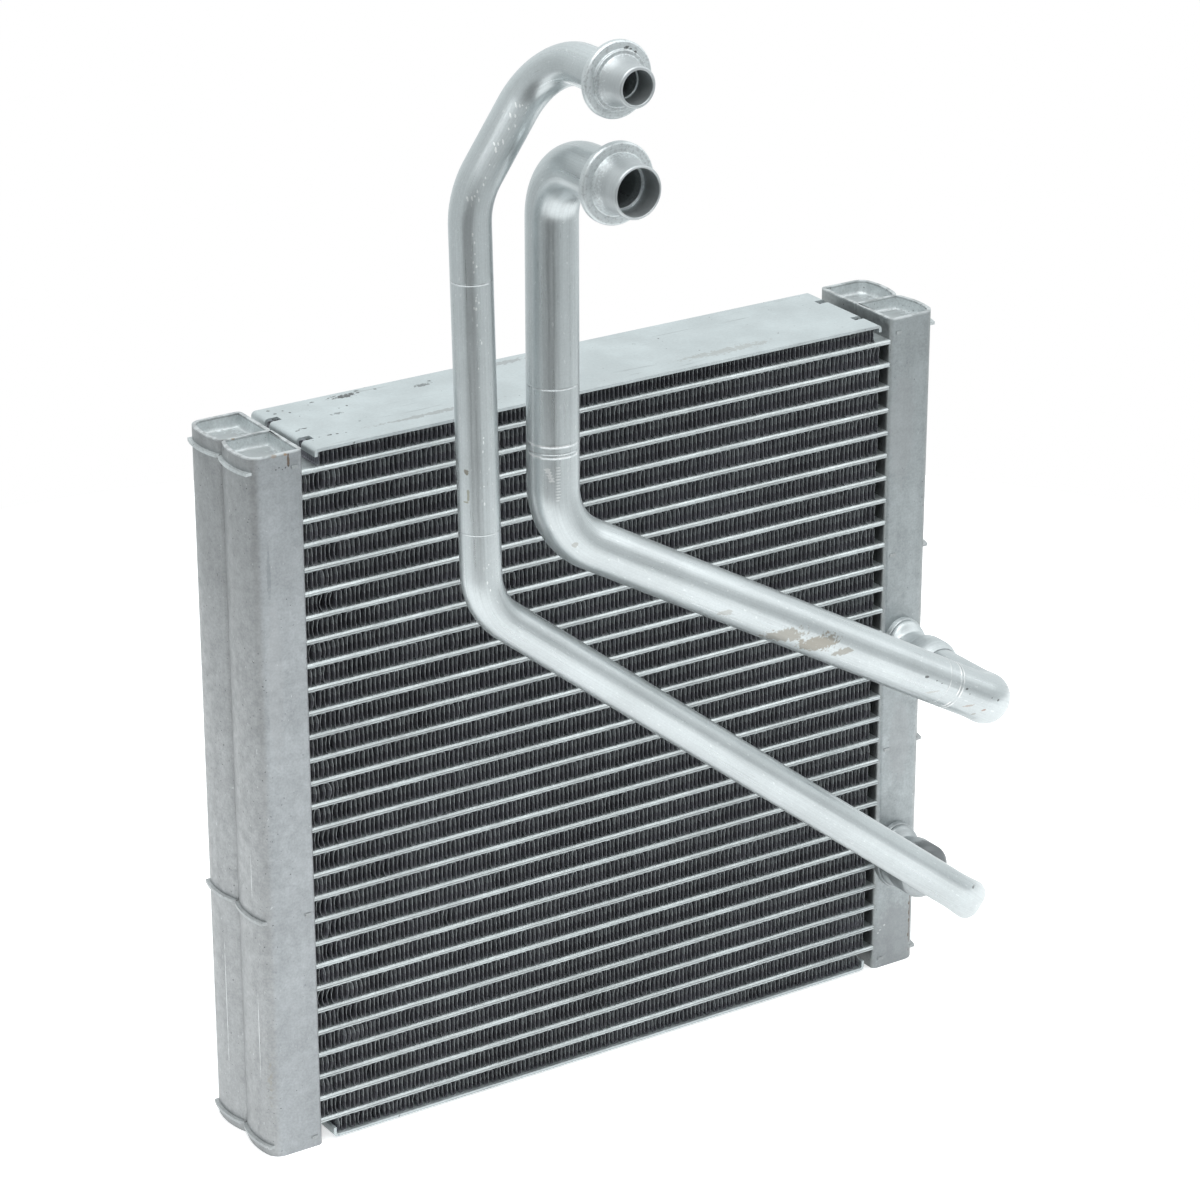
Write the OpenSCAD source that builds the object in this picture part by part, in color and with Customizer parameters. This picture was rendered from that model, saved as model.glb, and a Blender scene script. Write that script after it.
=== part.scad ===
// Parallel-flow evaporator core of brazed aluminium.
// Flat tubes and folded fins lie between two twin-cell headers. Two bent pipes
// leave the right header and rise to fittings that face the front.
// Z = 0 is the lower face of the bottom side plate, X = 0 and Y = 0 are the
// middle of the core, and the front is -Y.

/* [Core] */
// Width of the core between the two headers
core_w = 220.7; // [200:0.1:240]
// Depth of the headers and the side plates
core_d = 40; // [36:0.5:44]
// Distance from one flat tube to the next
tube_pitch = 8; // [7.4:0.1:9]
// Space left for filler metal around a brazed tube or pipe
braze_fit = 0; // [0:0.01:0.05]

/* [Flat tubes] */
// Thickness of a flat tube
tube_t = 1.8; // [1.6:0.05:2.2]
// How far a tube's rounded edge sits behind the header's front face
tube_setback = 0.5; // [0.3:0.1:1.2]
// Wall of a flat tube around its ports
tube_wall = 0.35; // [0.25:0.05:0.45]
// Length of a tube past the header's inner wall
tube_insert = 1.5; // [1:0.1:2.5]
// Width of the solid web in the middle of a tube
tube_web = 2.4; // [2:0.1:3.5]

/* [Fins] */
// Waves in one folded fin row
fin_waves = 66; // [40:1:66]
// Thickness of the fin sheet
fin_t = 0.15; // [0.1:0.01:0.25]
// How far the fins sit behind the tubes' rounded edges
fin_setback = 0.6; // [0.3:0.1:2]
// Empty space between a fin row and the right header
fin_gap = 2.8; // [1:0.1:4]

/* [Headers] */
// Height of a header from rim to rim
header_h = 240; // [236:1:252]
// Width of a header across the direction of the tubes
header_w = 19.3; // [18:0.1:21]
// Wall of a header
header_wall = 1.3; // [1.1:0.05:1.6]
// How much the outer wall of each cell bows out
header_bow = 2; // [1.6:0.1:2.4]
// Radius of the outer corners
header_r = 2.5; // [2.2:0.1:4]
// Radius of the corners beside the core
header_inner_r = 1.8; // [1.2:0.1:2.2]
// Depth of the groove between the two bowed walls
groove_depth = 1.4; // [0.8:0.1:1.8]

/* [End plates and baffles] */
// Thickness of the end plates and the baffles
baffle_t = 1; // [0.8:0.1:1.4]
// How far the plates' edges stand out of the bowed walls
baffle_proud = 1.2; // [0.8:0.1:1.6]
// Distance from the top rim to the middle of the top end plates
top_recess = 5; // [3.5:0.1:5.4]
// Distance from the bottom rim to the middle of the bottom end plates
bottom_recess = 3.5; // [2.5:0.1:5.4]

/* [Side plates] */
// Thickness of the side plates
plate_t = 1; // [0.8:0.1:1.2]
// Gap between a side plate's bent end and a header
plate_gap = 3.9; // [3:0.1:6]
// Distance from a header's rim to a side plate's outer face
plate_inset = 1; // [0.5:0.1:1.5]
// Height of the bent ends of the top plate
top_flange = 2.5; // [2.2:0.1:3.5]
// Height of the bent ends of the bottom plate
bottom_flange = 3.5; // [2.2:0.1:4]
// Outer radius of the bends
plate_bend = 1.5; // [1.3:0.1:1.9]

/* [Bosses] */
// Distance from a header's inner wall to the middle of the bosses
port_offset = 8.2; // [7.8:0.1:9]
// Diameter of the boss barrels that hold the pipes
boss_d = 19.4; // [18.8:0.1:21]
// Length of the suction boss from the header's face
boss_len = 21.5; // [20:0.5:24]
// How much shorter the liquid boss is than the suction boss
liquid_shorter = 3; // [0:0.1:4]
// Depth of the socket for a pipe
socket_depth = 10; // [8:0.5:12]

/* [Suction pipe] */
// Outer diameter of the suction pipe
suction_d = 15.88; // [15:0.01:16.6]
// Wall of the suction pipe
suction_wall = 1.3; // [1:0.1:1.6]
// Distance of the suction pipe's run in front of the core's middle
suction_run = 75; // [72:0.5:82]
// Height of the corner between the suction pipe's run and its riser
suction_corner_z = 219.6; // [212:0.1:226]
// Height of the suction fitting's axis
suction_end_z = 336; // [328:0.1:337]

/* [Liquid pipe] */
// Outer diameter of the liquid pipe
liquid_d = 12.7; // [12:0.01:13.2]
// Wall of the liquid pipe
liquid_wall = 1.3; // [1:0.1:1.6]
// Distance of the liquid pipe's run in front of the core's middle
liquid_run = 73.6; // [72:0.1:80]
// Height of the corner between the liquid pipe's run and its riser
liquid_corner_z = 199.9; // [194:0.1:204]
// Distance between the axes of the two fittings
fitting_spacing = 30.2; // [29:0.1:33]

/* [Fittings] */
// Distance of the flanges' front faces in front of the core's middle
fitting_front = 110.3; // [108:0.1:116]
// Distance of the fittings' axes left of the core's middle
fitting_offset = 56.2; // [50:0.1:60]
// Diameter of the suction fitting's flange
suction_flange_d = 24.4; // [23:0.1:26]
// Diameter of the liquid fitting's flange
liquid_flange_d = 22.6; // [21:0.1:24]
// Thickness of both flanges
flange_t = 2.5; // [2:0.1:3]

/* [Hidden] */
header_bottom = -plate_inset;
header_top = header_bottom + header_h;
core_mid_z = (header_bottom + header_top) / 2;
header_x = core_w / 2;
port_x = header_x + port_offset;
bottom_plate_in = plate_t;
top_plate_out = header_top - plate_inset;
top_plate_in = top_plate_out - plate_t;

// As many tubes as fit between the side plates with room for the two outer fin rows
outer_row_min = 0.6 * (tube_pitch - tube_t);
tube_room = top_plate_in - bottom_plate_in - 2 * outer_row_min - tube_t;
tube_count = 1 + floor(tube_room / tube_pitch);
rows_in_group = 3;
row_count = tube_count + 1;
group_count = ceil(row_count / rows_in_group);
mid_tube = (tube_count + 1) / 2;

tube_w = core_d - 2 * tube_setback;
tube_len = core_w + 2 * (header_wall + tube_insert);
ports_in_half = 4;
port_wall = 0.6;
fin_d = tube_w - 2 * fin_setback;

plate_len = core_w - 2 * plate_gap;
plate_notch_w = 3;
plate_notch_len = 4.5;

// Radius of the bowed wall of one cell, from its chord and its bow
bow_r = (pow(core_d / 4, 2) + pow(header_bow, 2)) / (2 * header_bow);
bow_x = header_w - bow_r;
web_t = header_wall;
corner_rise = core_d / 4 - header_r;
corner_x = bow_x + sqrt(pow(bow_r - header_r, 2) - pow(corner_rise, 2));
corner_angle = asin(corner_rise / (bow_r - header_r));
groove_half = 1;
groove_x = bow_x + bow_r * cos(asin((core_d / 4 - groove_half) / bow_r)) - groove_depth;
notch_half = 0.7;
notch_depth = 0.6;
arc_steps = 6;
bow_steps = 10;

foot_half_w = 8.6;
foot_half_h = 12.2;
foot_t = 3;
foot_edge = 0.8;
foot_wrap = 2.5;
neck_len = 11;
neck_r = foot_half_w;
shoulder = 3;
shoulder_drop = 1.2;

// Fin rows between the lowest tube and the liquid port, and beyond each baffle
rows_below_liquid_port = 4.5;
rows_beyond_baffle = 9.5;
suction_port_z = core_mid_z;
liquid_port_z = tube_z(tube_count - rows_below_liquid_port) - tube_t / 2;
port_r = 5;

suction_bend = [14, 24.5, 19];
liquid_bend = [14.5, 22, 24, 18.4];
liquid_riser_x = -80.6;
liquid_lean = 2.7;
liquid_jog_drop = 38.9;
// A bend's wall is a little thinner, and its ends reach this angle into the straights
bend_thinning = 0.04;
bend_lap = 1;
fitting_grip = 2.8;
fitting_hub = 1.5;
suction_nose = 10.2;
suction_taper = 3.6;
liquid_nose = 9.7;
liquid_collar = 1;
collar_step = 2.4;
liquid_cone = 3;
liquid_taper = 5.4;
mouth_at = 2.2;
nose_edge = 0.4;

lower_baffle_z = tube_z(tube_count - rows_beyond_baffle);
left_baffles = [lower_baffle_z];
right_baffles = [tube_z(rows_beyond_baffle + 1), lower_baffle_z];
top_end_z = header_top - top_recess;
bottom_end_z = header_bottom + bottom_recess;

alu_bright = [0.84, 0.86, 0.87];
alu_header = [0.66, 0.68, 0.69];
alu_pipe = [0.78, 0.81, 0.82];
alu_fin = [0.42, 0.43, 0.44];

$fn = 64;

// Middle height of flat tube n, where tube 1 is the top one
function tube_z(n) = core_mid_z + (mid_tube - n) * tube_pitch;

// Points along an arc
function arc(x, y, r, from, to, steps) = [
    for (i = [0:steps])
        let (a = from + (to - from) * i / steps)
        [x + r * cos(a), y + r * sin(a)]
];

function two_digits(n) = str(n < 10 ? "0" : "", n);
function tube_name(n) = str("flat_tube_", two_digits(n));
function group_name(g) = str("fin_rows_", two_digits(g));

// The rear half of the header's outline, from the inner notch to the groove
half_header = concat(
    [[0, notch_half]],
    arc(header_inner_r, core_d / 2 - header_inner_r, header_inner_r, 180, 90, arc_steps),
    arc(corner_x, core_d / 2 - header_r, header_r, 90, corner_angle, arc_steps),
    bow_points(bow_r, corner_angle, asin((core_d / 4 - groove_half) / bow_r))
);

// The bowed wall of the rear cell, from its outer corner to the groove
function bow_points(r, outer_angle, inner_angle) =
    arc(bow_x, core_d / 4, r, outer_angle, -inner_angle, bow_steps);

function reverse(list) = [for (i = [len(list) - 1:-1:0]) list[i]];
function to_front(points) = [for (p = points) [p[0], -p[1]]];

module header_outline() {
    polygon(concat(
        [[notch_depth, 0]],
        half_header,
        [[groove_x, 0]],
        reverse(to_front(half_header))
    ));
}

// The hollow of one cell
module cell_outline(side) {
    wall_r = header_r - header_wall;
    far = core_d / 2 - header_wall;
    inner_angle = asin((core_d / 4 - web_t / 2) / (bow_r - header_wall));
    points = concat(
        [[header_wall, web_t / 2], [header_wall, far]],
        arc(corner_x, core_d / 2 - header_r, wall_r, 90, corner_angle, arc_steps),
        bow_points(bow_r - header_wall, corner_angle, inner_angle)
    );
    polygon(side > 0 ? points : to_front(points));
}

// An end plate or baffle: it fills both cells and stands out of both bows
module baffle_outline() {
    far = core_d / 2 - header_wall;
    r = bow_r + baffle_proud;
    outer_angle = asin((far - core_d / 4) / r);
    inner_angle = asin((core_d / 4 - groove_half) / r);
    tab_x = header_wall + 0.8;
    tab_w = 2.2;
    tab_proud = 0.3;
    polygon(concat(
        [[header_wall, far]],
        bow_points(r, outer_angle, inner_angle),
        [[groove_x + baffle_proud, 0]],
        reverse(to_front(bow_points(r, outer_angle, inner_angle))),
        [[tab_x + tab_w, -far], [tab_x + tab_w, -core_d / 2 - tab_proud]],
        [[tab_x, -core_d / 2 - tab_proud], [tab_x, -far], [header_wall, -far]]
    ));
}

// The cross-section of a flat tube, grown by a clearance
module tube_outline(fit = 0) {
    r = tube_t / 2 + fit;
    half = tube_w / 2 - tube_t / 2;
    polygon(concat(
        arc(half, 0, r, -90, 90, arc_steps),
        arc(-half, 0, r, 90, 270, arc_steps)
    ));
}

// Places a header part on the right side, or mirrored on the left side
module at_header(side) {
    mirror([side < 0 ? 1 : 0, 0, 0])
        translate([header_x, 0, 0])
            children();
}

module baffle(z) {
    translate([0, 0, z - baffle_t / 2])
        linear_extrude(baffle_t)
            baffle_outline();
}

// A header with slots for the tubes and for its plates
module header(baffles) {
    difference() {
        translate([0, 0, header_bottom])
            linear_extrude(header_h)
                difference() {
                    header_outline();
                    cell_outline(1);
                    cell_outline(-1);
                }
        for (n = [1:tube_count])
            translate([-1, 0, tube_z(n)])
                rotate([90, 0, 90])
                    linear_extrude(1 + header_wall + tube_insert)
                        tube_outline(braze_fit);
        for (z = concat(baffles, [top_end_z, bottom_end_z]))
            baffle(z);
    }
}

module left_header() {
    color(alu_header)
        at_header(-1)
            header(left_baffles);
}

module right_header() {
    color(alu_header)
        difference() {
            at_header(1) header(right_baffles);
            for (z = [suction_port_z, liquid_port_z])
                translate([port_x, 2 * header_wall - core_d / 2, z])
                    rotate([90, 0, 0])
                        cylinder(h = 4 * header_wall, r = port_r);
        }
}

module header_plate(side, z) {
    color(alu_bright)
        at_header(side)
            baffle(z);
}

module left_top_end_plate() { header_plate(-1, top_end_z); }
module left_bottom_end_plate() { header_plate(-1, bottom_end_z); }
module left_baffle() { header_plate(-1, left_baffles[0]); }
module right_top_end_plate() { header_plate(1, top_end_z); }
module right_bottom_end_plate() { header_plate(1, bottom_end_z); }
module right_upper_baffle() { header_plate(1, right_baffles[0]); }
module right_lower_baffle() { header_plate(1, right_baffles[1]); }

// One flat tube with two sets of ports beside its middle web
module flat_tube(n) {
    half_ports = tube_w / 2 - tube_t / 2 - tube_web / 2;
    port_step = half_ports / ports_in_half;
    color(alu_bright)
        translate([-tube_len / 2, 0, tube_z(n)])
            rotate([90, 0, 90])
                linear_extrude(tube_len)
                    difference() {
                        tube_outline();
                        for (side = [-1, 1], i = [0:ports_in_half - 1])
                            translate([side * (tube_web / 2 + (i + 0.5) * port_step), 0])
                                square([port_step - port_wall, tube_t - 2 * tube_wall], center = true);
                    }
}

// The folded sheet of one fin row between two heights and two ends
module fin_row(x_from, x_to, z_from, z_to) {
    folds = 2 * fin_waves;
    step = (x_to - x_from - fin_t) / folds;
    rise = z_to - z_from;
    // Upright thickness of the slanted sheet, which sets the inside of a fold
    drop = fin_t * rise / step;
    lower = [for (i = [0:folds])
        [x_from + fin_t / 2 + i * step, i % 2 == 0 ? z_from : z_to - drop]];
    upper = [for (i = [folds:-1:0])
        [x_from + fin_t / 2 + i * step, i % 2 == 0 ? z_from + drop : z_to]];
    translate([0, fin_d / 2, 0])
        rotate([90, 0, 0])
            linear_extrude(fin_d)
                polygon(concat(lower, upper));
}

// Fin row r fills the space above tube r, and the last row lies below the last tube
module placed_fin_row(r) {
    outer = r == 1 || r == row_count;
    plate_end = plate_len / 2 - plate_bend;
    z_to = r == 1 ? top_plate_in : tube_z(r - 1) - tube_t / 2;
    z_from = r == row_count ? bottom_plate_in : tube_z(r) + tube_t / 2;
    fin_row(
        outer ? -plate_end : -header_x,
        outer ? plate_end : header_x - fin_gap,
        z_from,
        z_to
    );
}

module fin_group(g) {
    color(alu_fin)
        for (r = [(g - 1) * rows_in_group + 1:min(g * rows_in_group, row_count)])
            placed_fin_row(r);
}

// The side of a plate with both of its ends bent up
module plate_profile(flange) {
    half = plate_len / 2;
    inner_r = plate_bend - plate_t;
    polygon(concat(
        [[half, flange]],
        arc(half - plate_bend, plate_bend, plate_bend, 0, -90, arc_steps),
        arc(plate_bend - half, plate_bend, plate_bend, -90, -180, arc_steps),
        [[-half, flange], [plate_t - half, flange]],
        arc(plate_bend - half, plate_bend, inner_r, 180, 270, arc_steps),
        arc(half - plate_bend, plate_bend, inner_r, 270, 360, arc_steps),
        [[half - plate_t, flange]]
    ));
}

// A side plate with two notches through each bent end, its outer face at Z = 0
module side_plate(flange) {
    difference() {
        translate([0, core_d / 2, 0])
            rotate([90, 0, 0])
                linear_extrude(core_d)
                    plate_profile(flange);
        for (side = [-1, 1], y = [-core_d / 4, core_d / 4])
            translate([
                side * (plate_len / 2 - plate_notch_len / 2 + 0.5),
                y,
                flange / 2
            ])
                cube([plate_notch_len + 1, plate_notch_w, flange + 1], center = true);
    }
}

module bottom_side_plate() {
    color(alu_bright)
        side_plate(bottom_flange);
}

module top_side_plate() {
    color(alu_bright)
        translate([0, 0, top_plate_out])
            rotate([180, 0, 0])
                side_plate(top_flange);
}

// An oval, drawn in its own plane
module oval(half_w, half_h) {
    polygon([for (a = [0:7.5:359]) [half_w * cos(a), half_h * sin(a)]]);
}

// A boss on the right header's front face: oval foot, neck and barrel
module boss(z, pipe_d, shorter) {
    barrel_r = boss_d / 2;
    length = boss_len - shorter;
    neck = neck_len - shorter;
    difference() {
        translate([port_x, -core_d / 2, z])
            rotate([90, 0, 0]) {
                translate([0, 0, -foot_wrap])
                    linear_extrude(foot_wrap + foot_t - foot_edge)
                        oval(foot_half_w, foot_half_h);
                linear_extrude(foot_t)
                    oval(foot_half_w - foot_edge, foot_half_h - foot_edge);
                cylinder(h = neck, r = neck_r - 0.1);
                translate([0, 0, neck - 1])
                    cylinder(h = 1, r1 = neck_r - 0.1, r2 = barrel_r);
                translate([0, 0, neck])
                    cylinder(h = length - neck - shoulder, r = barrel_r);
                translate([0, 0, length - shoulder])
                    cylinder(h = shoulder, r1 = barrel_r, r2 = barrel_r - shoulder_drop);
            }
        translate([header_x, 0, z - 2 * foot_half_h])
            linear_extrude(4 * foot_half_h)
                header_outline();
        // The foot leaves room for the edges of the tubes that it reaches past
        for (n = [1:tube_count])
            if (abs(tube_z(n) - z) < foot_half_h + tube_t)
                translate([header_x - foot_half_w, 0, tube_z(n)])
                    rotate([90, 0, 90])
                        linear_extrude(foot_half_w + header_wall + tube_insert)
                            tube_outline(braze_fit);
        translate([port_x, 0, z])
            rotate([90, 0, 0])
                cylinder(h = core_d / 2 + length + 1, r = port_r);
        translate([port_x, socket_depth - core_d / 2 - length, z])
            rotate([90, 0, 0])
                cylinder(h = socket_depth + 1, r = pipe_d / 2 + braze_fit);
    }
}

module suction_boss() {
    color(alu_pipe)
        boss(suction_port_z, suction_d, 0);
}

module liquid_boss() {
    color(alu_pipe)
        boss(liquid_port_z, liquid_d, liquid_shorter);
}

// Length that a bend takes from each of the two straights beside it
function setback(radius, angle) = radius * tan(angle / 2);

function heading(from, to) = atan2(to[1] - from[1], to[0] - from[0]);
function span(from, to) = norm(to - from);

// A pipe as a bender makes it: each step is a straight length, a turn of the
// bend's plane about the pipe's axis, the bend's angle and its radius
module bent_pipe(steps, d, wall, i = 0) {
    length = steps[i][0];
    turn = steps[i][1];
    angle = steps[i][2];
    radius = steps[i][3];
    linear_extrude(length)
        pipe_ring(d, wall);
    if (angle > 0)
        translate([0, 0, length])
            rotate([0, 0, turn]) {
                translate([radius, 0, 0])
                    rotate([90, 0, 0])
                        rotate([0, 0, 180 - angle - bend_lap])
                            rotate_extrude(angle = angle + 2 * bend_lap)
                                translate([radius, 0])
                                    pipe_ring(d - 2 * bend_thinning, wall - 2 * bend_thinning);
                translate([radius * (1 - cos(angle)), 0, radius * sin(angle)])
                    rotate([0, angle, 0])
                        bent_pipe(steps, d, wall, i + 1);
            }
}

module pipe_ring(d, wall) {
    difference() {
        circle(d = d);
        circle(d = d - 2 * wall);
    }
}

// Places a pipe's first step in its boss, turned towards the run's direction
module from_boss(z, direction, start) {
    translate([port_x, -start, z])
        rotate([90, 0, 0])
            rotate([0, 0, direction])
                children();
}

suction_start = core_d / 2 + boss_len - socket_depth;
liquid_start = suction_start - liquid_shorter;
pipe_end = fitting_front - flange_t - fitting_hub + fitting_grip;

module suction_pipe() {
    a = [port_x, suction_port_z];
    b = [-fitting_offset, suction_corner_z];
    c = [-fitting_offset, suction_end_z];
    run = heading(a, b);
    rise = run - heading(b, c);
    r = suction_bend;
    color(alu_pipe)
        from_boss(suction_port_z, run, suction_start)
            bent_pipe([
                [suction_run - suction_start - r[0], 0, 90, r[0]],
                [span(a, b) - r[0] - setback(r[1], rise), -90, rise, r[1]],
                [span(b, c) - setback(r[1], rise) - r[2], -90, 90, r[2]],
                [pipe_end - suction_run - r[2], 0, 0, 0]
            ], suction_d, suction_wall);
}

module liquid_pipe() {
    end_z = suction_end_z + fitting_spacing;
    a = [port_x, liquid_port_z];
    b = [liquid_riser_x, liquid_corner_z];
    c = [liquid_riser_x - liquid_lean, end_z - liquid_jog_drop];
    d = [-fitting_offset, end_z];
    run = heading(a, b);
    rise = run - heading(b, c);
    jog = heading(b, c) - heading(c, d);
    r = liquid_bend;
    color(alu_pipe)
        from_boss(liquid_port_z, run, liquid_start)
            bent_pipe([
                [liquid_run - liquid_start - r[0], 0, 90, r[0]],
                [span(a, b) - r[0] - setback(r[1], rise), -90, rise, r[1]],
                [span(b, c) - setback(r[1], rise) - setback(r[2], jog), 0, jog, r[2]],
                [span(c, d) - setback(r[2], jog) - r[3], -90, 90, r[3]],
                [pipe_end - liquid_run - r[3], 0, 0, 0]
            ], liquid_d, liquid_wall);
}

// Places a fitting with its flange's front face in the common plane
module at_fitting(z) {
    translate([-fitting_offset, -fitting_front, z])
        rotate([90, 0, 0])
            children();
}

// A fitting turned from bar: hub, flange and nose around a stepped bore
module turned_fitting(pipe_r, flange_r, nose, bore_r, mouth_r) {
    back = -flange_t - fitting_hub;
    edge = 0.5;
    socket_r = pipe_r + braze_fit;
    tip = nose[len(nose) - 1][1];
    rotate_extrude()
        polygon(concat(
            [[socket_r, back], [pipe_r + 1, back], [pipe_r + 1, -flange_t]],
            [[flange_r - edge, -flange_t], [flange_r, edge - flange_t]],
            [[flange_r, -edge], [flange_r - edge, 0]],
            nose,
            [[mouth_r, tip], [mouth_r, mouth_at], [bore_r, mouth_at]],
            [[bore_r, back + fitting_grip], [socket_r, back + fitting_grip]]
        ));
}

module suction_fitting() {
    r = suction_d / 2;
    color(alu_bright)
        at_fitting(suction_end_z)
            turned_fitting(r, suction_flange_d / 2, [
                [r + 1.3, 0],
                [r, suction_taper],
                [r, suction_nose - nose_edge],
                [r - nose_edge, suction_nose]
            ], r - 1.6, r - 0.85);
}

module liquid_fitting() {
    r = liquid_d / 2;
    nose_r = r - 0.25;
    color(alu_bright)
        at_fitting(suction_end_z + fitting_spacing)
            turned_fitting(r, liquid_flange_d / 2, [
                [r + collar_step, 0],
                [r + collar_step, liquid_collar],
                [r + 1.2, liquid_collar],
                [r + 0.3, liquid_cone],
                [nose_r, liquid_taper],
                [nose_r, liquid_nose - nose_edge],
                [nose_r - nose_edge, liquid_nose]
            ], r - 1.75, r - 1.35);
}

left_header();
right_header();
left_top_end_plate();
left_bottom_end_plate();
left_baffle();
right_top_end_plate();
right_bottom_end_plate();
right_upper_baffle();
right_lower_baffle();
top_side_plate();
bottom_side_plate();
suction_boss();
liquid_boss();
suction_pipe();
liquid_pipe();
suction_fitting();
liquid_fitting();
for (n = [1:tube_count])
    flat_tube(n);
for (g = [1:group_count])
    fin_group(g);
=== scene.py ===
"""Evaporator core: detailed pieces, materials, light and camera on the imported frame."""
import math
import random

import bmesh
import bpy
import numpy as np
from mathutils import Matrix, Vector
from mathutils.geometry import tessellate_polygon


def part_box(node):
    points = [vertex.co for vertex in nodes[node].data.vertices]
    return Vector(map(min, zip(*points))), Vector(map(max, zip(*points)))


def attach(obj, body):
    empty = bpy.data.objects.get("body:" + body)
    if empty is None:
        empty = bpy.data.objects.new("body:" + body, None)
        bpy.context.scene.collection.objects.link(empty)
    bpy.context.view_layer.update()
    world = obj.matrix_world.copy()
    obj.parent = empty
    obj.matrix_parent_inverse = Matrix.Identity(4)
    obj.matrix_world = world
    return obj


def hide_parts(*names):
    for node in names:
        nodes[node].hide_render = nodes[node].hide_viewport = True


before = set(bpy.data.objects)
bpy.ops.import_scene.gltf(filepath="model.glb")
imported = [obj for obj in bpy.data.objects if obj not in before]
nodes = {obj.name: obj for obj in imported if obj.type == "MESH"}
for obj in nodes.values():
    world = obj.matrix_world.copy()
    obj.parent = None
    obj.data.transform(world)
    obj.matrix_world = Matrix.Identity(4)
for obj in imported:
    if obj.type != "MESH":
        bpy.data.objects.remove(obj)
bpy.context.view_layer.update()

scene = bpy.context.scene
MM = 0.001


def mm(*lengths):
    """Lengths given in millimetres, in metres."""
    return tuple(length * MM for length in lengths)


# Sizes taken from the frame

def low(node):
    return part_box(node)[0]


def high(node):
    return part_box(node)[1]


def middle(node, axis):
    return (getattr(low(node), axis) + getattr(high(node), axis)) / 2


TUBES = sorted(node for node in nodes if node.startswith("flat_tube_"))
FIN_GROUPS = sorted(node for node in nodes if node.startswith("fin_rows_"))
HEADER_LOW = low("right_header")
HEADER_HIGH = high("right_header")
HEADER_W = HEADER_HIGH.x - HEADER_LOW.x
CORE_HALF = HEADER_LOW.x
CORE_D = HEADER_HIGH.y - HEADER_LOW.y
FRONT = HEADER_LOW.y
PORT_X = middle("suction_boss", "x")
TOP_TUBE = high(TUBES[0]).z
TUBE_MID = middle(TUBES[0], "z")
TUBE_PITCH = low(TUBES[0]).z - low(TUBES[1]).z
FIN_HALF = high(FIN_GROUPS[0]).y


# Node graphs

class Graph:
    """A node tree with short calls for the nodes that the materials and the world need."""

    def __init__(self, owner):
        owner.use_nodes = True
        self.tree = owner.node_tree
        self.tree.nodes.clear()

    def node(self, kind):
        return self.tree.nodes.new(kind)

    def link(self, source, target):
        self.tree.links.new(source, target)

    def feed(self, target, value):
        """Links the target to a socket, or sets it to a plain value."""
        if hasattr(value, "is_output"):
            self.link(value, target)
        else:
            target.default_value = value

    def fill(self, node, **values):
        """Feeds the inputs of a node by their names."""
        for name, value in values.items():
            self.feed(node.inputs[name], value)

    def math(self, operation, a, b=0.0):
        n = self.node("ShaderNodeMath")
        n.operation = operation
        self.feed(n.inputs[0], a)
        self.feed(n.inputs[1], b)
        return n.outputs[0]

    def product(self, first, *others):
        for other in others:
            first = self.math("MULTIPLY", first, other)
        return first

    def span(self, value, start, end, to_low=0.0, to_high=1.0):
        """A smooth step from to_low at start to to_high at end."""
        n = self.node("ShaderNodeMapRange")
        n.interpolation_type = "SMOOTHSTEP"
        self.feed(n.inputs["Value"], value)
        for name, number in (("From Min", start), ("From Max", end),
                             ("To Min", to_low), ("To Max", to_high)):
            n.inputs[name].default_value = number
        return n.outputs[0]


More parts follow.
